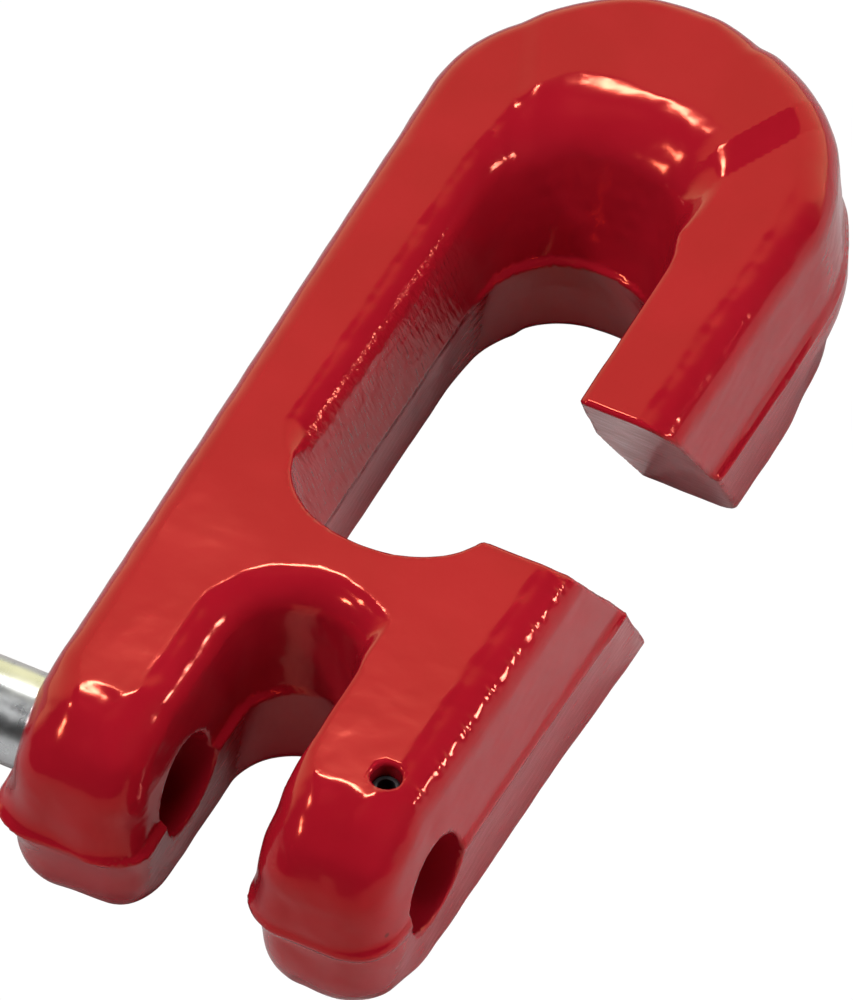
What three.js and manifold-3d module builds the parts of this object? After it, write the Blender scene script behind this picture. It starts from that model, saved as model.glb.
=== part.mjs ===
// Safety chain hook: a drop-forged hook with a clevis, its load pin and the pin that locks it.
// Millimetres, +Z up. The hook lies on its broad side and points along +Y, and the clevis's bore runs along X.
// The pieces are built about the middle of the bore, and the group then moves them, so that the origin
// is on the underside of the web between the slot and the seat.
import * as THREE from 'three';
import { mergeVertices } from 'three/addons/utils/BufferGeometryUtils.js';
import Module from 'manifold-3d';

const wasm = await Module();
wasm.setup();

// Driving dimensions of the forging. Plan sizes are at the parting plane, z = 0.
const THICKNESS = 43.8;
const HALF_THICKNESS = THICKNESS / 2;
const CLEVIS_HALF_WIDTH = 33.7; // half the width across the ears, on the bore's axis
const FLANK_TAPER = 0.02; // the flanks spread by this much for each millimetre along Y
const OUTER_DRAFT = 0.094; // tangent of the draft angle on the outer walls and in the slot
const INNER_DRAFT = 0.124; // the same inside the hook's opening
const OUTER_FILLET = 3.7;

const EAR_END_Y = -19.8;
const EAR_CORNER = 8.5; // plan radius at the corners of the ears
const EAR_DOME = 13; // radius that rounds the ends of the ears, seen from the side

const CROWN_CENTRE_Y = 132.5;
const CROWN_HALF_WIDTH = CLEVIS_HALF_WIDTH + FLANK_TAPER * CROWN_CENTRE_Y;
const CROWN_HEIGHT = 35.2; // from the crown's centre to its top

const OPENING_HALF_WIDTH = 14.7;
const OPENING_BEND_Y = 112.4; // where the opening's straight sides end, under the crown
const OPENING_BEND_HEIGHT = 13.2;
const SEAT_CENTRE_Y = 52.7; // where its straight sides end, above the seat
const SEAT_DEPTH = 10.5;
const SHANK_FILLET = 5; // along the shank, inside the opening
const BEND_FILLET = 11; // under the crown

const MOUTH_SHOULDER_Y = 61.8;
const MOUTH_TIP_Y = 94.1;
const MOUTH_SLOPE = 0.597; // the mouth's two faces shift by this much in Y for each millimetre down

const SLOT_HALF_WIDTH = 9.5;
const SLOT_BEND_Y = 15.8;
const SLOT_FILLET = 5.5;

const WEB_MIDDLE_Y = 36.2; // between the slot's end and the seat, on the flat faces

const BORE_RADIUS = 8.3;
const LOCK_HOLE_X = 24.8;
const LOCK_HOLE_RADIUS = 2.55;

// Driving dimensions of the pins. Both are drawn back, so that the clevis is open for a chain link.
const LOAD_PIN_RADIUS = 8;
const LOAD_PIN_LENGTH = 64;
const LOAD_PIN_CHAMFER = 1.5;
const LOAD_PIN_TRAVEL = 47.5; // from drawn back to seated
const CROSS_HOLE_RADIUS = 2.7;
const LOCK_PIN_RADIUS = 2.3;
const LOCK_PIN_LENGTH = 10.5;
const LOCK_PIN_WALL = 0.9;
const LOCK_PIN_SLIT = 0.8;
const LOCK_PIN_FOOT_Z = 8.8; // its lower end, just above the bore

const CUT_MARGIN = 4; // how far a cutter runs past what it cuts
const FILLET_STEPS = 4;
const ARC_STEPS = 14;
const SAME_POINT = 1e-6;
const MERGE_DISTANCE = 1e-4;
const BORE_SIDES = 40;
const SMALL_SIDES = 24;

const paint = new THREE.MeshStandardMaterial({ color: 0xb8201c, roughness: 0.22, metalness: 0.0 });
const zinc = new THREE.MeshStandardMaterial({ color: 0xb9bcc0, roughness: 0.35, metalness: 1.0 });
const phosphate = new THREE.MeshStandardMaterial({ color: 0x2b2b2d, roughness: 0.5, metalness: 0.8 });

/** A manifold-3d solid from a closed three.js geometry. */
function solid(geometry) {
  const bare = geometry.clone();
  bare.deleteAttribute('normal');
  bare.deleteAttribute('uv');
  const merged = mergeVertices(bare, MERGE_DISTANCE);
  return new wasm.Manifold(new wasm.Mesh({
    numProp: 3,
    vertProperties: new Float32Array(merged.attributes.position.array),
    triVerts: new Uint32Array(merged.index.array),
  }));
}

/** The three.js geometry of a manifold-3d solid. */
function geometryOf(manifold) {
  const mesh = manifold.getMesh();
  const geometry = new THREE.BufferGeometry();
  geometry.setAttribute('position', new THREE.BufferAttribute(new Float32Array(mesh.vertProperties), 3));
  geometry.setIndex(new THREE.BufferAttribute(new Uint32Array(mesh.triVerts), 1));
  geometry.computeVertexNormals();
  return geometry;
}

/** How far a rounded edge of this radius stands back from the wall at the height z. */
function filletSetback(z, radius) {
  const rise = Math.abs(z) - (HALF_THICKNESS - radius);
  if (rise <= 0) return 0;
  return radius - Math.sqrt(Math.max(0, radius * radius - rise * rise));
}

/** Heights through the forging, closer together where the edges are rounded. */
function levels(radius, past) {
  const wall = HALF_THICKNESS - radius;
  const upper = [wall / 2, wall];
  for (let i = 1; i <= FILLET_STEPS; i += 1) {
    upper.push(wall + radius * Math.sin((i / FILLET_STEPS) * (Math.PI / 2)));
  }
  if (past > 0) upper.push(HALF_THICKNESS + past);
  return [...upper.map((z) => -z).reverse(), 0, ...upper];
}

/** The outline's corners, each curve without its last point, so that every height has as many. */
function ringOf(outline) {
  return outline.curves
    .filter((curve) => curve.getLength() > SAME_POINT)
    .flatMap((curve) => curve.getPoints(curve.isLineCurve ? 1 : ARC_STEPS).slice(0, -1));
}

/** A closed solid through the outlines that outlineAt gives, one for each height. */
function loft(outlineAt, heights) {
  const rings = heights.map((z) => ringOf(outlineAt(z)));
  const count = rings[0].length;
  const positions = rings.flatMap((ring, k) => ring.flatMap((p) => [p.x, p.y, heights[k]]));
  const index = [];
  for (let k = 0; k + 1 < rings.length; k += 1) {
    for (let i = 0; i < count; i += 1) {
      const j = (i + 1) % count;
      const [a, b, c, d] = [k * count + i, k * count + j, (k + 1) * count + j, (k + 1) * count + i];
      index.push(a, b, c, a, c, d);
    }
  }
  const top = (rings.length - 1) * count;
  THREE.ShapeUtils.triangulateShape(rings[0], []).forEach(([a, b, c]) => index.push(c, b, a));
  THREE.ShapeUtils.triangulateShape(rings[rings.length - 1], []).forEach(([a, b, c]) => {
    index.push(top + a, top + b, top + c);
  });
  const geometry = new THREE.BufferGeometry();
  geometry.setAttribute('position', new THREE.Float32BufferAttribute(positions, 3));
  geometry.setIndex(index);
  return solid(geometry);
}

/** The forging's outer outline at the height z: two flanks, the round crown and the ears' end. */
function outerOutline(z) {
  const inset = OUTER_DRAFT * Math.abs(z) + filletSetback(z, OUTER_FILLET);
  const endY = EAR_END_Y + OUTER_DRAFT * Math.abs(z) + filletSetback(z, EAR_DOME);
  const half = CLEVIS_HALF_WIDTH - inset;
  const corner = EAR_CORNER - inset / 2;
  const outline = new THREE.Shape();
  outline.moveTo(-half + corner, endY);
  outline.lineTo(half - corner, endY);
  outline.absarc(half - corner, endY + corner, corner, -Math.PI / 2, 0, false);
  outline.absellipse(0, CROWN_CENTRE_Y, CROWN_HALF_WIDTH - inset, CROWN_HEIGHT - inset, 0, Math.PI, false, 0);
  outline.absarc(-half + corner, endY + corner, corner, Math.PI, Math.PI * 1.5, false);
  return outline;
}

/** The hook's opening at the height z: a seat below, straight sides and the bend under the crown. */
function openingOutline(z) {
  const height = Math.min(Math.abs(z), HALF_THICKNESS);
  const draft = INNER_DRAFT * height;
  const right = OPENING_HALF_WIDTH + draft;
  const left = right + filletSetback(height, SHANK_FILLET);
  const bend = OPENING_BEND_HEIGHT + draft + filletSetback(height, BEND_FILLET);
  const seat = SEAT_DEPTH + draft;
  const outline = new THREE.Shape();
  outline.absellipse(0, SEAT_CENTRE_Y, left, seat, Math.PI, Math.PI * 1.5, false, 0);
  outline.absellipse(0, SEAT_CENTRE_Y, right, seat, Math.PI * 1.5, Math.PI * 2, false, 0);
  outline.absellipse(0, OPENING_BEND_Y, right, bend, 0, Math.PI / 2, false, 0);
  outline.absellipse(0, OPENING_BEND_Y, left, bend, Math.PI / 2, Math.PI, false, 0);
  return outline;
}

/** The slot between the ears at the height z. Its mouth flares, which rounds the ears' inner corners. */
function slotOutline(z) {
  const height = Math.min(Math.abs(z), HALF_THICKNESS);
  const draft = OUTER_DRAFT * height;
  const right = SLOT_HALF_WIDTH + draft;
  const left = right + filletSetback(height, SLOT_FILLET);
  const bend = right + filletSetback(height, SLOT_FILLET);
  const endY = EAR_END_Y + draft + filletSetback(height, EAR_DOME);
  const outline = new THREE.Shape();
  outline.moveTo(-left - EAR_CORNER, EAR_END_Y - CUT_MARGIN);
  outline.lineTo(right + EAR_CORNER, EAR_END_Y - CUT_MARGIN);
  outline.absarc(right + EAR_CORNER, endY + EAR_CORNER, EAR_CORNER, Math.PI * 1.5, Math.PI, true);
  outline.absellipse(0, SLOT_BEND_Y, right, bend, 0, Math.PI / 2, false, 0);
  outline.absellipse(0, SLOT_BEND_Y, left, bend, Math.PI / 2, Math.PI, false, 0);
  outline.absarc(-left - EAR_CORNER, endY + EAR_CORNER, EAR_CORNER, 0, -Math.PI / 2, true);
  return outline;
}

/** The gap between the tip and the shoulder, whose two faces slope alike, cut out to the right. */
function mouthCutter() {
  const reach = HALF_THICKNESS + CUT_MARGIN;
  const shift = MOUTH_SLOPE * reach;
  const width = CLEVIS_HALF_WIDTH + CUT_MARGIN * 2;
  const section = new THREE.Shape([
    new THREE.Vector2(MOUTH_SHOULDER_Y + shift, -reach),
    new THREE.Vector2(MOUTH_TIP_Y + shift, -reach),
    new THREE.Vector2(MOUTH_TIP_Y - shift, reach),
    new THREE.Vector2(MOUTH_SHOULDER_Y - shift, reach),
  ]);
  const geometry = new THREE.ExtrudeGeometry(section, { depth: width, bevelEnabled: false });
  geometry.applyMatrix4(new THREE.Matrix4().makeBasis(
    new THREE.Vector3(0, 1, 0),
    new THREE.Vector3(0, 0, 1),
    new THREE.Vector3(1, 0, 0),
  ));
  return solid(geometry);
}

/** A round bar along X, centred on the origin. */
function barAlongX(radius, length, sides) {
  const geometry = new THREE.CylinderGeometry(radius, radius, length, sides);
  return solid(geometry.rotateZ(Math.PI / 2));
}

/** A round bar along Z through (x, 0). */
function barAlongZ(radius, length, x, sides) {
  const geometry = new THREE.CylinderGeometry(radius, radius, length, sides);
  return solid(geometry.rotateX(Math.PI / 2).translate(x, 0, 0));
}

function hookBody() {
  const cutters = [
    loft(openingOutline, levels(BEND_FILLET, CUT_MARGIN)),
    loft(slotOutline, levels(EAR_DOME, CUT_MARGIN)),
    mouthCutter(),
    barAlongX(BORE_RADIUS, (CLEVIS_HALF_WIDTH + CUT_MARGIN) * 2, BORE_SIDES),
    barAlongZ(LOCK_HOLE_RADIUS, THICKNESS + CUT_MARGIN * 2, LOCK_HOLE_X, SMALL_SIDES),
  ];
  let body = loft(outerOutline, levels(EAR_DOME, 0));
  cutters.forEach((cutter) => {
    body = body.subtract(cutter);
  });
  return new THREE.Mesh(geometryOf(body), paint);
}

/** The headless load pin, seated about its own centre, with the cross hole that takes the locking pin. */
function loadPin() {
  const half = LOAD_PIN_LENGTH / 2;
  const inner = LOAD_PIN_RADIUS - LOAD_PIN_CHAMFER;
  const profile = [
    new THREE.Vector2(0, -half),
    new THREE.Vector2(inner, -half),
    new THREE.Vector2(LOAD_PIN_RADIUS, -half + LOAD_PIN_CHAMFER),
    new THREE.Vector2(LOAD_PIN_RADIUS, half - LOAD_PIN_CHAMFER),
    new THREE.Vector2(inner, half),
    new THREE.Vector2(0, half),
  ];
  const bar = solid(new THREE.LatheGeometry(profile, BORE_SIDES).rotateZ(-Math.PI / 2));
  const hole = barAlongZ(CROSS_HOLE_RADIUS, LOAD_PIN_RADIUS * 3, LOCK_HOLE_X, SMALL_SIDES);
  const mesh = new THREE.Mesh(geometryOf(bar.subtract(hole)), zinc);
  mesh.position.x = -LOAD_PIN_TRAVEL;
  return mesh;
}

/** The slotted spring pin: a sprung tube with a slit down one side. */
function lockingPin() {
  const slitHalfAngle = LOCK_PIN_SLIT / LOCK_PIN_RADIUS / 2;
  const section = new THREE.Shape();
  section.absarc(0, 0, LOCK_PIN_RADIUS, slitHalfAngle, Math.PI * 2 - slitHalfAngle, false);
  section.absarc(0, 0, LOCK_PIN_RADIUS - LOCK_PIN_WALL, Math.PI * 2 - slitHalfAngle, slitHalfAngle, true);
  const geometry = new THREE.ExtrudeGeometry(section, {
    depth: LOCK_PIN_LENGTH,
    bevelEnabled: false,
    curveSegments: SMALL_SIDES / 2,
  });
  const mesh = new THREE.Mesh(geometryOf(solid(geometry)), phosphate);
  mesh.position.set(LOCK_HOLE_X, 0, LOCK_PIN_FOOT_Z);
  return mesh;
}

const hook = new THREE.Group();
Object.entries({ hook_body: hookBody(), load_pin: loadPin(), locking_pin: lockingPin() })
  .forEach(([name, mesh]) => {
    mesh.name = name;
    hook.add(mesh);
  });

hook.position.set(0, -WEB_MIDDLE_Y, HALF_THICKNESS);

export default hook;
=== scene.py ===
"""Looks of the safety chain hook: a forged clevis hook in red enamel, its load pin and its locking pin.

The forging and both pins are grown from signed distances: each shape is a formula that is negative
inside the metal, in millimetres about the middle of the clevis's bore. A surface net is drawn where the
formula is zero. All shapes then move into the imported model's frame, in metres.
"""
import math

import bpy
import numpy as np
from mathutils import Matrix, Vector


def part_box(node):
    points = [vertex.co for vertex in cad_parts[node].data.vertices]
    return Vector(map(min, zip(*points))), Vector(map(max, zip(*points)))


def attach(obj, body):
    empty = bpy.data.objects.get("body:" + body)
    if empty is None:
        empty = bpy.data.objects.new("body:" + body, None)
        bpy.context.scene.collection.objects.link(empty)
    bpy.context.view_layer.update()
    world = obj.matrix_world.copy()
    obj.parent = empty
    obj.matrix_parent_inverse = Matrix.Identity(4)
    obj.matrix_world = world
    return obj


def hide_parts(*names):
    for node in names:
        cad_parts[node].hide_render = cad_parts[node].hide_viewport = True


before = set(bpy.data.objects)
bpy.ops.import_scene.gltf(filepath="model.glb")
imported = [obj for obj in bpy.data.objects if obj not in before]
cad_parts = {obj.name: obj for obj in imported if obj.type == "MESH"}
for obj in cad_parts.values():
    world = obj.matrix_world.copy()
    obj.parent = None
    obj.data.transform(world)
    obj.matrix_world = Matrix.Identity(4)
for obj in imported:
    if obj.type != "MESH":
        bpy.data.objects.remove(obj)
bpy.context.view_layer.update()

MM = 0.001
HOOK_LOW, HOOK_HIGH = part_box("hook_body")
PIN_LOW, PIN_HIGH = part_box("load_pin")
LOCK_LOW, LOCK_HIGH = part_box("locking_pin")
BORE = Vector((0.0, (PIN_LOW.y + PIN_HIGH.y) / 2, (HOOK_LOW.z + HOOK_HIGH.z) / 2))

# ---------------------------------------------------------------- the forging's dimensions, mm
HALF_THICKNESS = (HOOK_HIGH.z - HOOK_LOW.z) / 2 / MM
EAR_END_Y = (HOOK_LOW.y - BORE.y) / MM
CLEVIS_HALF_WIDTH = 33.7
FLANK_TAPER = 0.02
OUTER_DRAFT = 0.094
INNER_DRAFT = 0.124
OUTER_FILLET = 3.7
MOUTH_SIDE_FILLET = 6.5
EAR_CORNER = 8.5
EAR_DOME = 13.8
CROWN_CENTRE_Y = 132.5
CROWN_HALF_WIDTH = CLEVIS_HALF_WIDTH + FLANK_TAPER * CROWN_CENTRE_Y
CROWN_HEIGHT = (HOOK_HIGH.y - BORE.y) / MM - CROWN_CENTRE_Y
OPENING_HALF_WIDTH = 14.7
OPENING_BEND_Y = 112.4
OPENING_BEND_HEIGHT = 13.2
SEAT_CENTRE_Y = 52.7
SEAT_DEPTH = 10.5
SHANK_FILLET = 5.0
BEND_FILLET = 10.5
BEND_FILLET_DEPTH = 6.5
SADDLE_LEAN = 0.32
SHOULDER_Y = 61.8
SHOULDER_SLOPE = 0.597
TIP_Y = 93.4
TIP_SLOPE = 0.566
SLOT_HALF_WIDTH = 9.5
SLOT_BEND_Y = 15.8
SLOT_FILLET = 5.5
BORE_RADIUS = 8.3
LOCK_HOLE_X = (LOCK_LOW.x + LOCK_HIGH.x) / 2 / MM
LOCK_HOLE_RADIUS = 2.55
CRISP_EDGE = 0.7
RIM_EDGE = 0.5

# How the upper and the lower half of the forging differ, as the two dies never meet exactly.
PARTING_BLEND = 0.5
UPPER_SLOT_SHIFT = -0.3
LOWER_SLOT_SHIFT = 1.0
FLASH_HEIGHT = 0.4
FLASH_WIDTH = 0.9
PAD_RISE = 0.9
PAD_SLOPE_WIDTH = 5.0

# The two pins, mm.
PIN_RADIUS = (PIN_HIGH.y - PIN_LOW.y) / 2 / MM
PIN_HALF_LENGTH = (PIN_HIGH.x - PIN_LOW.x) / 2 / MM
PIN_MIDDLE_X = (PIN_HIGH.x + PIN_LOW.x) / 2 / MM
PIN_CHAMFER = 1.5
PIN_TRAVEL = 47.5
CROSS_HOLE_X = LOCK_HOLE_X - PIN_TRAVEL
CROSS_HOLE_RADIUS = 2.7
LOCK_PIN_RADIUS = (LOCK_HIGH.y - LOCK_LOW.y) / 2 / MM
LOCK_PIN_HALF_LENGTH = (LOCK_HIGH.z - LOCK_LOW.z) / 2 / MM
LOCK_PIN_MIDDLE_Z = ((LOCK_HIGH.z + LOCK_LOW.z) / 2 - BORE.z) / MM
LOCK_PIN_WALL = 0.9
LOCK_PIN_SLIT = 0.8
LOCK_PIN_CHAMFER = 0.4

# The lumpy bead that the paint left along the mouth side's upper edge.
BEAD_PITCH = 2.8
BEAD_HEIGHT = 0.16
BEAD_WIDTH = 1.5
BEAD_OFFSET = 0.4

# The unevenness that the dies and the paint left, and how far from the drilled bore it starts.
UNEVEN_BODY = 0.04
UNEVEN_EARS = 0.09
FINE_UNEVENNESS = 0.014
TRUE_RIM = 2.5


# ---------------------------------------------------------------- shape formulas
def smooth(start, end, value):
    """0 before the start, 1 after the end and an even turn between them."""
    share = np.clip((value - start) / (end - start), 0.0, 1.0)
    return share * share * (3.0 - 2.0 * share)


def near(value, centre, width):
    """1 at the centre, falling off to 0 on both sides."""
    return np.exp(-((value - centre) / width) ** 2)


def both(a, b, radius):
    """Where two solids overlap, given their signed distances, with the edge rounded."""
    outside = np.hypot(np.maximum(a + radius, 0.0), np.maximum(b + radius, 0.0))
    return np.minimum(np.maximum(a, b), -radius) + outside


def ellipse(x, y, half_width, half_height):
    """About the distance to an ellipse, negative inside."""
    share = np.hypot(x / half_width, y / half_height)
    slope = np.hypot(x / half_width**2, y / half_height**2)
    return share * (share - 1.0) / np.maximum(slope, 1e-9)


def side_plan(x, y, wider):
    """About the distance to the forging's sides and crown in plan, which stand out by this much."""
    flank = np.abs(x) - (CLEVIS_HALF_WIDTH + FLANK_TAPER * y) - wider
    crown = ellipse(x, y - CROWN_CENTRE_Y, CROWN_HALF_WIDTH, CROWN_HEIGHT) - wider
    return np.where(y > CROWN_CENTRE_Y, crown, flank)


def opening_plan(x, y):
    side = np.abs(x) - OPENING_HALF_WIDTH
    seat = ellipse(x, y - SEAT_CENTRE_Y, OPENING_HALF_WIDTH, SEAT_DEPTH)
    bend = ellipse(x, y - OPENING_BEND_Y, OPENING_HALF_WIDTH, OPENING_BEND_HEIGHT)
    return np.where(y < SEAT_CENTRE_Y, seat, np.where(y > OPENING_BEND_Y, bend, side))


def slot_plan(x, y):
    return np.hypot(x, np.maximum(y - SLOT_BEND_Y, 0.0)) - SLOT_HALF_WIDTH


def edge_radius(x, y, upper):
    """Radius of the outer top and bottom edges, and of the ears' outer corners."""
    side = OUTER_FILLET + (MOUTH_SIDE_FILLET - OUTER_FILLET) * upper * smooth(0.0, 12.0, x)
    return side + (EAR_CORNER - side) * smooth(2.0, -10.0, y)


def saddle(x, y):
    """Where the load sits in the bend: 0 on the straight sides, 1 round the crown's inside."""
    turn = np.degrees(np.arctan2(y - OPENING_BEND_Y, x))
    return smooth(18.0, 72.0, turn) * smooth(178.0, 112.0, turn)


def opening_radius(x, y):
    """Radius of the edge round the opening: crisp at the seat and the arm, full at the shank and the bend."""
    shank = SHANK_FILLET * smooth(2.0, -4.0, x) * smooth(48.0, 58.0, y)
    return np.maximum(np.maximum(shank, BEND_FILLET * saddle(x, y)), CRISP_EDGE)


def slot_radius(x, y, upper):
    """Radius of the slot's top and bottom edges, and of the ears' inner corners."""
    turn = smooth(9.5, 5.0, x - 0.5 * np.maximum(y - SLOT_BEND_Y, 0.0))
    side = CRISP_EDGE + (SLOT_FILLET - CRISP_EDGE) * turn
    corner = 6.0 + (1.5 + 0.5 * smooth(2.0, -2.0, x)) * upper
    return side + (corner - side) * smooth(2.0, -10.0, y)


def pad_height(x, y):
    """The crown's flat stands a little above the shank and the arm."""
    from_left = smooth(-4.0, 1.0, x + 18.1 + 0.42 * (y - 137.0))
    across = 0.898 * (x - 14.7) - 0.44 * (y - 140.6)
    from_right = np.clip(1.0 - across / PAD_SLOPE_WIDTH, 0.0, 1.0)
    return PAD_RISE * from_left * from_right * smooth(118.0, 136.0, y)


def forging(x, y, z):
    """About the distance to the forging's surface, negative inside the steel."""
    height = np.abs(z)
    upper = smooth(-PARTING_BLEND, PARTING_BLEND, z)
    lower = 1.0 - upper
    draft = OUTER_DRAFT * height
    top = height - HALF_THICKNESS - pad_height(x, y) * upper
    turn = np.degrees(np.arctan2(y - CROWN_CENTRE_Y, x))
    right = smooth(0.0, 14.0, x)
    left_ear = smooth(0.0, -12.0, x) * smooth(8.0, -8.0, y)
    right_ear = smooth(4.0, 9.0, x) * smooth(4.0, -6.0, y)
    arm = right * smooth(40.0, 75.0, y)
    crown = right * smooth(120.0, 134.0, y)
    seam = near(z, -4.5, 6.0)
    # The sides and the ears' ends stand out by different amounts above and below the parting line.
    wider = upper * 0.5 * left_ear + lower * (0.45 + 0.7 * arm - crown * (1.4 - 1.4 * seam))
    wider = wider + 0.75 * smooth(74.0, 68.0, turn) * smooth(22.0, 40.0, turn)
    wider = wider + 0.6 * near(turn, 110.0, 15.0) - 0.95 * near(turn, 141.0, 15.0)
    wider = wider + 0.9 * near(z, -1.0, 3.0) * left_ear
    longer = upper * 0.5 * left_ear - lower * left_ear * (0.2 + 0.04 * (x + 22.0))
    longer = longer + 0.9 * near(z, -0.5, 3.0) * left_ear
    flash = FLASH_HEIGHT * near(z, 0.4, FLASH_WIDTH)
    side = side_plan(x, y, wider) + draft - flash
    end = EAR_END_Y - y - longer + draft - flash
    # The slot and the opening narrow towards the parting line, and the bend's inner wall leans back.
    slot_x = x - UPPER_SLOT_SHIFT * upper - LOWER_SLOT_SHIFT * lower
    slot = draft - slot_plan(slot_x, y) - right_ear * (0.45 * upper + 0.5 * near(z, 0.0, 2.5))
    bend = smooth(OPENING_BEND_Y - 8.0, OPENING_BEND_Y + 8.0, y)
    opening = INNER_DRAFT * height - opening_plan(x, y) - 1.4 * lower * bend * smooth(16.0, -4.0, x)
    opening = opening + SADDLE_LEAN * saddle(x, y) * np.maximum(z, 0.0)
    # One cut after another, each with its own edge radius. The saddle's edge is wider than it is deep.
    solid = both(both(end, top, EAR_DOME), side, edge_radius(x, y, upper))
    solid = both(solid, slot, slot_radius(x, y, upper))
    fillet = opening_radius(x, y)
    depth = np.minimum(fillet, BEND_FILLET_DEPTH)
    solid = both(solid, both(opening * depth / fillet, top, depth), 0.01)
    # The mouth, between the slanted shoulder and the slanted tip of the arm.
    shoulder = y + SHOULDER_SLOPE * z - SHOULDER_Y - 0.8 * near(z, 2.0, 8.0) * smooth(14.0, 24.0, x)
    tip = TIP_Y - y - TIP_SLOPE * z
    mouth = np.minimum(np.minimum(shoulder, tip) / math.hypot(1.0, SHOULDER_SLOPE), x)
    solid = both(solid, mouth, CRISP_EDGE)
    solid = both(solid, BORE_RADIUS - np.hypot(y, z), RIM_EDGE)
    return both(solid, LOCK_HOLE_RADIUS - np.hypot(x - LOCK_HOLE_X, y), RIM_EDGE)


def waves(points, seed, count, shortest, longest):
    """Random smooth bumps, about -1 to 1, from plane waves in all directions."""
    draw = np.random.default_rng(seed)
    total = 0.0
    for _ in range(count):
        heading = draw.normal(size=3)
        heading = heading / np.linalg.norm(heading)
        length = draw.uniform(shortest, longest)
        phase = draw.uniform(0.0, 2.0 * math.pi)
        along = sum(h * p for h, p in zip(heading, points))
        total = total + np.sin(2.0 * math.pi * along / length + phase)
    return total / math.sqrt(count)


def flatness(x, y, z):
    """1 on the machined-looking flats, 0 on the fillets and the walls."""
    upper = smooth(-PARTING_BLEND, PARTING_BLEND, z)
    draft = OUTER_DRAFT * HALF_THICKNESS
    edge = side_plan(x, y, 0.0) + draft + edge_radius(x, y, upper)
    edge = np.maximum(edge, EAR_END_Y - y + draft + EAR_DOME)
    edge = np.maximum(edge, draft - slot_plan(x, y) + slot_radius(x, y, upper))
    lean = (INNER_DRAFT + SADDLE_LEAN * saddle(x, y)) * HALF_THICKNESS
    edge = np.maximum(edge, lean - opening_plan(x, y) + opening_radius(x, y))
    return smooth(1.5, -0.5, edge) * smooth(HALF_THICKNESS - 0.6, HALF_THICKNESS - 0.2, np.abs(z))


def skin(x, y, z):
    """The forging with the unevenness that its dies and its paint left. The drilled bore stays true."""
    place = (x, y, z)
    forged = smooth(BORE_RADIUS, BORE_RADIUS + TRUE_RIM, np.hypot(y, z))
    ears = smooth(10.0, -3.0, y)
    flat = flatness(x, y, z)
    uneven = (UNEVEN_BODY + UNEVEN_EARS * ears) * (1.0 - 0.92 * flat) * waves(place, 11, 9, 6.0, 11.0)
    fine = FINE_UNEVENNESS * (1.0 - 0.85 * flat) * waves(place, 12, 12, 2.2, 4.0)
    side = side_plan(x, y, 0.0) + OUTER_DRAFT * np.abs(z)
    edge = near(side - z + HALF_THICKNESS, BEAD_OFFSET, BEAD_WIDTH)
    edge = edge * smooth(0.0, 4.0, x) * smooth(0.0, 2.0, z)
    lumps = 0.5 + 0.5 * np.sin(2.0 * math.pi * y / BEAD_PITCH + 1.6 * np.sin(0.8 * y))
    reach = smooth(-7.0, 0.0, y) * (1.0 - 0.8 * smooth(50.0, 70.0, y)) * smooth(140.0, 120.0, y)
    bead = BEAD_HEIGHT * edge * lumps * reach
    return forging(x, y, z) - (uneven + fine) * forged - bead


def load_pin(x, y, z):
    """A turned bar along x with chamfered ends and a cross hole that the locking pin drops into."""
    side = np.hypot(y, z) - PIN_RADIUS
    ends = np.abs(x - PIN_MIDDLE_X) - PIN_HALF_LENGTH
    solid = both(both(side, ends, 0.2), (side + ends + PIN_CHAMFER) / math.sqrt(2.0), 0.2)
    return both(solid, CROSS_HOLE_RADIUS - np.hypot(x - CROSS_HOLE_X, y), 0.35)


def locking_pin(x, y, z):
    """A rolled spring sleeve on end, with its slit towards +X."""
    around = np.hypot(x - LOCK_HOLE_X, y)
    wall = np.maximum(around - LOCK_PIN_RADIUS, LOCK_PIN_RADIUS - LOCK_PIN_WALL - around)
    ends = np.abs(z - LOCK_PIN_MIDDLE_Z) - LOCK_PIN_HALF_LENGTH
    chamfer = (around - LOCK_PIN_RADIUS + ends + LOCK_PIN_CHAMFER) / math.sqrt(2.0)
    solid = both(both(wall, ends, 0.12), chamfer, 0.1)
    slit = np.minimum(LOCK_PIN_SLIT / 2 - np.abs(y), x - LOCK_HOLE_X)
    return both(solid, slit, 0.12)


# ---------------------------------------------------------------- from a formula to a mesh
def slopes(shape, points, step=0.02):
    """The gradient of a shape's distance at the points."""
    columns = []
    for axis in range(3):
        offset = np.zeros(3)
        offset[axis] = step
        ahead = shape(*(points + offset).T)
        behind = shape(*(points - offset).T)
        columns.append((ahead - behind) / (2.0 * step))
    return np.stack(columns, 1)


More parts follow.
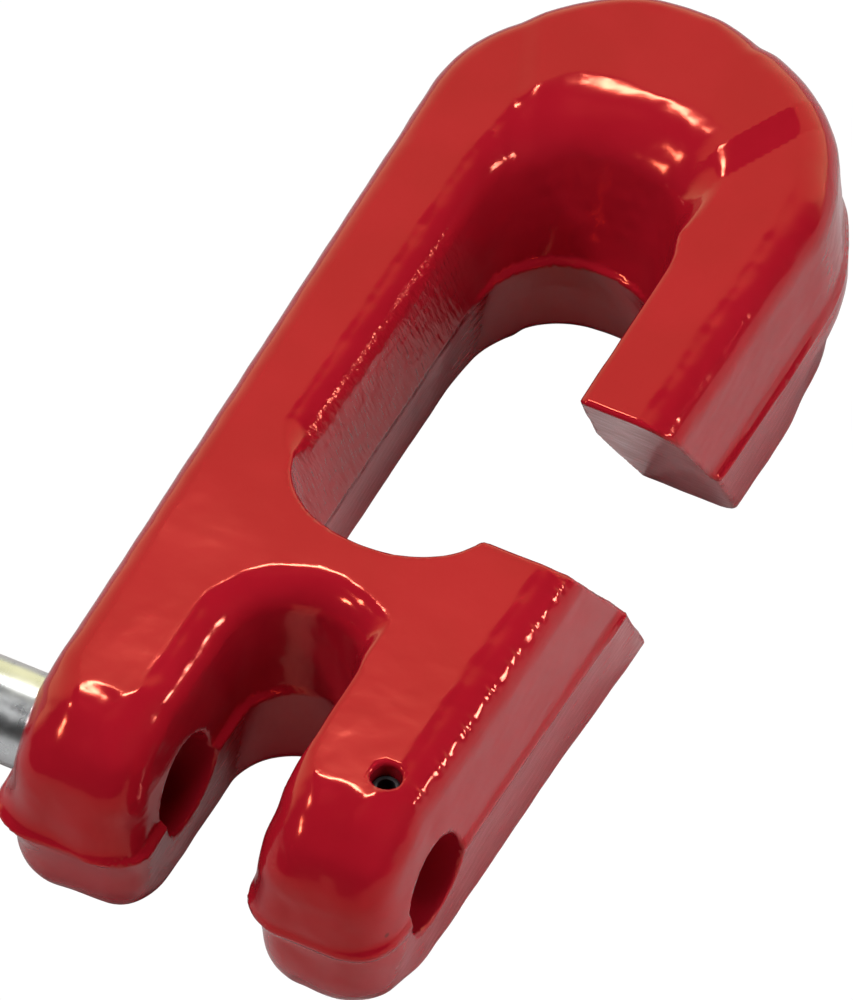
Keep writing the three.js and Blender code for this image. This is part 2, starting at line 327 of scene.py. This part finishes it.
def surface_net(shape, low, high, pitch):
    """Vertices and quads of the surface where the distance is zero, one vertex per cell that it crosses."""
    axes = [np.arange(a, b + pitch, pitch) for a, b in zip(low, high)]
    values = shape(*np.meshgrid(*axes, indexing="ij", sparse=True)).astype(np.float32)
    inside = values < 0
    size = tuple(n - 1 for n in values.shape)
    corners = [np.array((i, j, k)) for i in (0, 1) for j in (0, 1) for k in (0, 1)]
    filled = sum(
        inside[i:i + size[0], j:j + size[1], k:k + size[2]].astype(np.int8) for i, j, k in corners
    )
    cells = np.argwhere((filled > 0) & (filled < len(corners)))
    number = np.full(size, -1, np.int32)
    number[tuple(cells.T)] = np.arange(len(cells))
    total = np.zeros((len(cells), 3))
    crossings = np.zeros(len(cells))
    for axis in range(3):
        for start in (c for c in corners if c[axis] == 0):
            along = np.eye(3, dtype=int)[axis]
            a = values[tuple((cells + start).T)]
            b = values[tuple((cells + start + along).T)]
            crossed = (a < 0) != (b < 0)
            share = np.where(crossed, a / np.where(crossed, a - b, 1.0), 0.0)
            total += np.where(crossed[:, None], start + np.outer(share, along), 0.0)
            crossings += crossed
    points = np.array(low) + pitch * (cells + total / crossings[:, None])
    quads = [ring_quads(inside, number, axis) for axis in range(3)]
    return points, np.concatenate(quads)


def ring_quads(inside, number, axis):
    """A quad round each grid edge along the axis that crosses the surface."""
    u, v = (axis + 1) % 3, (axis + 2) % 3
    first = np.moveaxis(inside, axis, 0)[:-1]
    second = np.moveaxis(inside, axis, 0)[1:]
    edges = np.argwhere(np.moveaxis(first != second, 0, axis))
    outward = inside[tuple(edges.T)]
    ring = []
    for du, dv in ((1, 1), (0, 1), (0, 0), (1, 0)):
        cell = edges.copy()
        cell[:, u] -= du
        cell[:, v] -= dv
        ring.append(number[tuple(cell.T)])
    ring = np.stack(ring, 1)
    ring[~outward] = ring[~outward][:, ::-1]
    return ring


def settle(shape, points, rounds=4, reach=0.5):
    """Moves each point along the slope until it lies on the surface."""
    for _ in range(rounds):
        slope = slopes(shape, points)
        step = slope * (shape(*points.T) / np.maximum((slope**2).sum(1), 1e-3))[:, None]
        length = np.linalg.norm(step, axis=1, keepdims=True)
        points = points - step * np.minimum(1.0, reach / np.maximum(length, 1e-9))
    return points


def grow(name, shape, low, high, pitch, body, node, material):
    """A smooth mesh of the shape, in the row frame, that stands for a CAD node."""
    points, quads = surface_net(shape, low, high, pitch)
    points = settle(shape, points)
    slope = slopes(shape, points)
    normals = slope / np.linalg.norm(slope, axis=1, keepdims=True)
    mesh = bpy.data.meshes.new(name)
    mesh.from_pydata((points * MM + np.array(BORE)).tolist(), [], quads.tolist())
    mesh.polygons.foreach_set("use_smooth", [True] * len(mesh.polygons))
    mesh.normals_split_custom_set_from_vertices(normals.tolist())
    mesh.materials.append(material)
    piece = bpy.data.objects.new(name, mesh)
    bpy.context.scene.collection.objects.link(piece)
    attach(piece, body)
    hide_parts(node)
    return piece


# ---------------------------------------------------------------- materials
class Shader:
    """A new material's node tree, with a short way to add and link its nodes."""

    def __init__(self, name):
        self.material = bpy.data.materials.new(name)
        self.material.use_nodes = True
        self.tree = self.material.node_tree
        self.tree.nodes.clear()
        self.output = self.tree.nodes.new("ShaderNodeOutputMaterial")

    def add(self, kind, settings=None, **inputs):
        node = self.tree.nodes.new(kind)
        for key, value in (settings or {}).items():
            setattr(node, key, value)
        for key, value in inputs.items():
            socket = node.inputs[key.replace("_", " ")]
            if isinstance(value, bpy.types.NodeSocket):
                self.tree.links.new(value, socket)
            else:
                socket.default_value = value
        return node

    def finish(self, shader):
        self.tree.links.new(shader.outputs[0], self.output.inputs["Surface"])
        return self.material

    def noise(self, place, scale, detail=2.0, stretch=None, roughness=0.5):
        """Noise of a given scale per metre, perhaps stretched along some axes."""
        if stretch:
            mapping = self.add("ShaderNodeMapping", {"vector_type": "POINT"}, Vector=place, Scale=stretch)
            place = mapping.outputs[0]
        return self.add("ShaderNodeTexNoise", Vector=place, Scale=scale, Detail=detail,
                        Roughness=roughness).outputs["Fac"]

    def ramp(self, value, start, end, low=0.0, high=1.0):
        node = self.add("ShaderNodeMapRange", {"interpolation_type": "SMOOTHSTEP"}, Value=value,
                        From_Min=start, From_Max=end, To_Min=low, To_Max=high)
        return node.outputs["Result"]

    def times(self, a, b):
        node = self.add("ShaderNodeMath", {"operation": "MULTIPLY"})
        for socket, value in zip(node.inputs, (a, b)):
            if isinstance(value, bpy.types.NodeSocket):
                self.tree.links.new(value, socket)
            else:
                socket.default_value = value
        return node.outputs[0]

    def blend(self, share, first, second):
        """One colour turning into another as the share goes from 0 to 1."""
        node = self.add("ShaderNodeMix", {"data_type": "RGBA"})
        self.tree.links.new(share, node.inputs["Factor"])
        for socket, value in zip((node.inputs[6], node.inputs[7]), (first, second)):
            if isinstance(value, bpy.types.NodeSocket):
                self.tree.links.new(value, socket)
            else:
                socket.default_value = (*value, 1.0)
        return node.outputs[2]

    def bump(self, height, depth, below=None):
        """A relief of the given depth in metres, laid over another one."""
        node = self.add("ShaderNodeBump", Strength=1.0, Distance=depth, Height=height)
        if below:
            self.tree.links.new(below, node.inputs["Normal"])
        return node.outputs["Normal"]


def red_enamel():
    """Thick glossy enamel on a forging: orange peel, streaks on the walls, pits and a few dull patches."""
    s = Shader("red_enamel")
    place = s.add("ShaderNodeTexCoord").outputs["Object"]
    x, y, z = s.add("ShaderNodeSeparateXYZ", Vector=place).outputs
    normal = s.add("ShaderNodeNewGeometry").outputs["Normal"]
    facing = s.add("ShaderNodeSeparateXYZ", Vector=normal).outputs

    # The walls that look towards +X: fine streaks along the hook, rough ones inside the opening.
    wall = s.ramp(facing["X"], 0.6, 0.95)
    inner = s.ramp(x, 0.0, -0.008)
    rough_zone = s.times(s.times(wall, inner), s.ramp(z, 0.020, 0.0225))
    rough_zone = s.times(rough_zone, s.times(s.ramp(y, 0.008, 0.016), s.ramp(y, 0.076, 0.064)))
    slanted = s.add("ShaderNodeVectorRotate", {"rotation_type": "X_AXIS"}, Vector=place,
                    Angle=math.radians(-17.0)).outputs[0]
    strokes = s.noise(slanted, 1000.0, 3.0, (1.0, 1.0, 0.16))
    streaks = s.noise(place, 900.0, 2.0, (1.0, 0.12, 1.0))
    peel = s.noise(place, 520.0, 2.0)
    ripple = s.noise(place, 170.0, 1.0)

    relief = s.bump(peel, 0.00002)
    relief = s.bump(ripple, 0.00006, relief)
    relief = s.bump(s.times(streaks, wall), 0.00006, relief)
    relief = s.bump(s.times(strokes, rough_zone), 0.00040, relief)

    pits = s.add("ShaderNodeTexVoronoi", Vector=place, Scale=55.0).outputs["Distance"]
    pits = s.ramp(pits, 0.02, 0.04, 1.0, 0.0)
    mottle = s.noise(place, 60.0, 3.0)
    colour = s.blend(s.ramp(mottle, 0.35, 0.7), (0.325, 0.0060, 0.0145), (0.350, 0.0070, 0.0168))
    colour = s.blend(pits, colour, (0.12, 0.003, 0.006))
    dull = s.ramp(s.noise(place, 35.0, 4.0), 0.45, 0.75, 0.11, 0.17)
    paint = s.add(
        "ShaderNodeBsdfPrincipled",
        Base_Color=colour,
        Roughness=dull,
        IOR=1.8,
        Specular_Tint=(1.0, 0.17, 0.08, 1.0),
        Normal=relief,
    )
    return s.finish(paint)


def zinc_plate():
    """Bright zinc on turned steel: rings from the lathe, a slightly cloudy film."""
    s = Shader("zinc_plate")
    place = s.add("ShaderNodeTexCoord").outputs["Object"]
    rings = s.noise(place, 1.0, 2.0, (2600.0, 8.0, 8.0))
    cloud = s.noise(place, 160.0, 4.0)
    metal = s.add(
        "ShaderNodeBsdfPrincipled",
        Base_Color=s.blend(s.ramp(cloud, 0.3, 0.7), (0.56, 0.57, 0.58), (0.70, 0.71, 0.71)),
        Metallic=1.0,
        Roughness=s.ramp(cloud, 0.3, 0.75, 0.24, 0.38),
        Normal=s.bump(rings, 0.00001),
    )
    return s.finish(metal)


def black_phosphate():
    """A dark, slightly oily phosphate film on spring steel."""
    s = Shader("black_phosphate")
    place = s.add("ShaderNodeTexCoord").outputs["Object"]
    grain = s.noise(place, 2500.0, 3.0)
    metal = s.add(
        "ShaderNodeBsdfPrincipled",
        Base_Color=s.blend(grain, (0.010, 0.010, 0.011), (0.028, 0.028, 0.030)),
        Roughness=s.ramp(grain, 0.3, 0.7, 0.45, 0.65),
        Normal=s.bump(grain, 0.00001),
    )
    return s.finish(metal)


# ---------------------------------------------------------------- the studio
def studio_floor():
    s = Shader("pale_floor")
    seen = s.add("ShaderNodeLightPath").outputs["Is Camera Ray"]
    matt = s.add("ShaderNodeBsdfDiffuse", Color=(0.56, 0.56, 0.56, 1.0))
    plain = s.add("ShaderNodeEmission", Color=(1.0, 1.0, 1.0, 1.0), Strength=PLAIN_WHITE)
    mix = s.add("ShaderNodeMixShader", Fac=seen)
    s.tree.links.new(matt.outputs[0], mix.inputs[1])
    s.tree.links.new(plain.outputs[0], mix.inputs[2])
    material = s.finish(mix)
    mesh = bpy.data.meshes.new("floor")
    corners = [(x * FLOOR_HALF, y * FLOOR_HALF, -FLOOR_GAP) for x, y in ((-1, -1), (1, -1), (1, 1), (-1, 1))]
    mesh.from_pydata(corners, [], [(0, 1, 2, 3)])
    mesh.materials.append(material)
    floor = bpy.data.objects.new("floor", mesh)
    bpy.context.scene.collection.objects.link(floor)


def direction(azimuth, elevation):
    """From the object towards a place in the studio. Azimuth 0 is -Y and 90 is +X."""
    a, e = math.radians(azimuth), math.radians(elevation)
    return Vector((math.sin(a) * math.cos(e), -math.cos(a) * math.cos(e), math.sin(e)))


def panel(name, azimuth, elevation, distance, width, height, radiance, glossy=True, aim=None, spread=180.0):
    """A soft rectangular lamp that the camera doesn't see, aimed at the object or at one part of it."""
    light = bpy.data.lights.new(name, "AREA")
    light.shape = "RECTANGLE"
    light.size, light.size_y = width, height
    light.spread = math.radians(spread)
    narrowing = 1.0 - light.spread / 2 / math.tan(light.spread / 2)
    light.energy = radiance * math.pi * width * height * narrowing
    lamp = bpy.data.objects.new(name, light)
    away = direction(azimuth, elevation)
    lamp.location = (aim or LAMP_AIM) + away * distance
    lamp.rotation_mode = "QUATERNION"
    lamp.rotation_quaternion = away.to_track_quat("Z", "Y")
    lamp.visible_camera = False
    lamp.visible_glossy = glossy
    bpy.context.scene.collection.objects.link(lamp)


class World(Shader):
    """The world's node tree, built in the same way as a material's."""

    def __init__(self):
        self.material = bpy.data.worlds.new("studio")
        bpy.context.scene.world = self.material
        self.material.use_nodes = True
        self.tree = self.material.node_tree
        self.tree.nodes.clear()
        self.output = self.tree.nodes.new("ShaderNodeOutputWorld")

    def mix(self, share, first, second):
        node = self.add("ShaderNodeMixShader", Fac=share)
        self.tree.links.new(first.outputs[0], node.inputs[1])
        self.tree.links.new(second.outputs[0], node.inputs[2])
        return node


def studio_world():
    """White to the camera, an even glow to matt surfaces, and in reflections a dark room with a lit wall."""
    w = World()
    path = w.add("ShaderNodeLightPath").outputs
    place = w.add("ShaderNodeTexCoord").outputs["Generated"]
    height = w.add("ShaderNodeSeparateXYZ", Vector=place).outputs["Z"]
    back = w.add("ShaderNodeVectorMath", {"operation": "DOT_PRODUCT"})
    w.tree.links.new(place, back.inputs[0])
    back.inputs[1].default_value = direction(WALL_AZIMUTH, 0)
    wall = w.times(w.ramp(height, WALL_TOP - 0.01, WALL_TOP + 0.02, 1.0, 0.0),
                   w.ramp(back.outputs["Value"], 0.30, 0.50))
    wall = w.times(wall, w.ramp(height, 0.0, 0.75, WALL_GLOW_LOW, WALL_GLOW_HIGH))
    gloss = w.add("ShaderNodeBackground", Color=(*WALL_TINT, 1.0), Strength=wall)
    matt = w.add("ShaderNodeBackground", Strength=ROOM_GLOW)
    white = w.add("ShaderNodeBackground", Strength=PLAIN_WHITE)
    room = w.mix(path["Is Glossy Ray"], matt, gloss)
    w.finish(w.mix(path["Is Camera Ray"], room, white))


def camera():
    """A long lens from the front right, well above the hook."""
    data = bpy.data.cameras.new("camera")
    data.lens = CAMERA_LENS
    data.sensor_width = 36.0
    data.clip_start, data.clip_end = 0.1, 20.0
    eye = bpy.data.objects.new("camera", data)
    away = direction(CAMERA_AZIMUTH, CAMERA_ELEVATION)
    right = Vector((-away.y, away.x, 0.0)).normalized()
    up = away.cross(right)
    roll = math.radians(CAMERA_ROLL)
    turned = right * math.cos(roll) + up * math.sin(roll)
    lifted = away.cross(turned)
    facing = Matrix((turned, lifted, away)).transposed().to_4x4()
    eye.matrix_world = Matrix.Translation(CAMERA_TARGET * MM + away * CAMERA_DISTANCE) @ facing
    bpy.context.scene.collection.objects.link(eye)
    bpy.context.scene.camera = eye


# ---------------------------------------------------------------- making it all
FLOOR_HALF = 3.0
FLOOR_GAP = 0.0003
PLAIN_WHITE = 1.02
WALL_AZIMUTH = 206
WALL_TOP = math.sin(math.radians(52.5))
WALL_TINT = (1.0, 0.96, 0.58)
WALL_GLOW_LOW = 1.5
WALL_GLOW_HIGH = 1.05
ROOM_GLOW = 0.03
CAMERA_AZIMUTH = 26.02
CAMERA_ELEVATION = 49.78
CAMERA_ROLL = 1.04
CAMERA_LENS = 432.0
CAMERA_DISTANCE = 1.860
CAMERA_TARGET = Vector((8.736, 8.903, 52.940))
LAMP_AIM = Vector((0.0, 0.035, 0.02))
RIGHT_EAR = Vector((0.022, -0.025, 0.03))
# Name, azimuth, elevation, distance, width, height, radiance; then whether reflections show it, aim, spread.
LAMPS = (
    ("lamp_high", 212, 60, 1.3, 0.17, 0.09, 72.0),
    ("lamp_left", 312, 40, 1.3, 0.15, 0.13, 60.0),
    ("lamp_slot", 285, 55, 1.3, 0.12, 0.12, 55.0),
    ("lamp_right", 120, 13, 0.7, 0.14, 0.10, 50.0, True, RIGHT_EAR, 28.0),
    ("right_fill", 100, 30, 1.3, 0.9, 0.6, 3.7, False),
    ("front_fill", 5, 4, 1.4, 1.3, 0.14, 6.5, False),
    ("high_fill", 225, 86, 1.4, 0.5, 0.5, 14.0, False),
)

MARGIN = 2.4
FORGING_PITCH = 0.76
LOAD_PIN_PITCH = 0.43
LOCKING_PIN_PITCH = 0.127
span_low = np.array([-CROWN_HALF_WIDTH, EAR_END_Y, -HALF_THICKNESS]) - MARGIN
span_high = np.array([CROWN_HALF_WIDTH, CROWN_CENTRE_Y + CROWN_HEIGHT, HALF_THICKNESS]) + MARGIN
grow("forged_hook", skin, span_low, span_high, FORGING_PITCH, "hook", "hook_body", red_enamel())
pin_reach = np.array([PIN_HALF_LENGTH + 1.0, PIN_RADIUS + 1.0, PIN_RADIUS + 1.0])
pin_middle = np.array([PIN_MIDDLE_X, 0.0, 0.0])
grow("turned_load_pin", load_pin, pin_middle - pin_reach, pin_middle + pin_reach, LOAD_PIN_PITCH,
     "load_pin", "load_pin", zinc_plate())
sleeve_reach = np.array([LOCK_PIN_RADIUS + 0.3, LOCK_PIN_RADIUS + 0.3, LOCK_PIN_HALF_LENGTH + 0.3])
sleeve_middle = np.array([LOCK_HOLE_X, 0.0, LOCK_PIN_MIDDLE_Z])
grow("sprung_locking_pin", locking_pin, sleeve_middle - sleeve_reach, sleeve_middle + sleeve_reach,
     LOCKING_PIN_PITCH, "locking_pin", "locking_pin", black_phosphate())

studio_floor()
studio_world()
for lamp in LAMPS:
    panel(*lamp)
camera()

bpy.context.scene.view_settings.view_transform = "Standard"
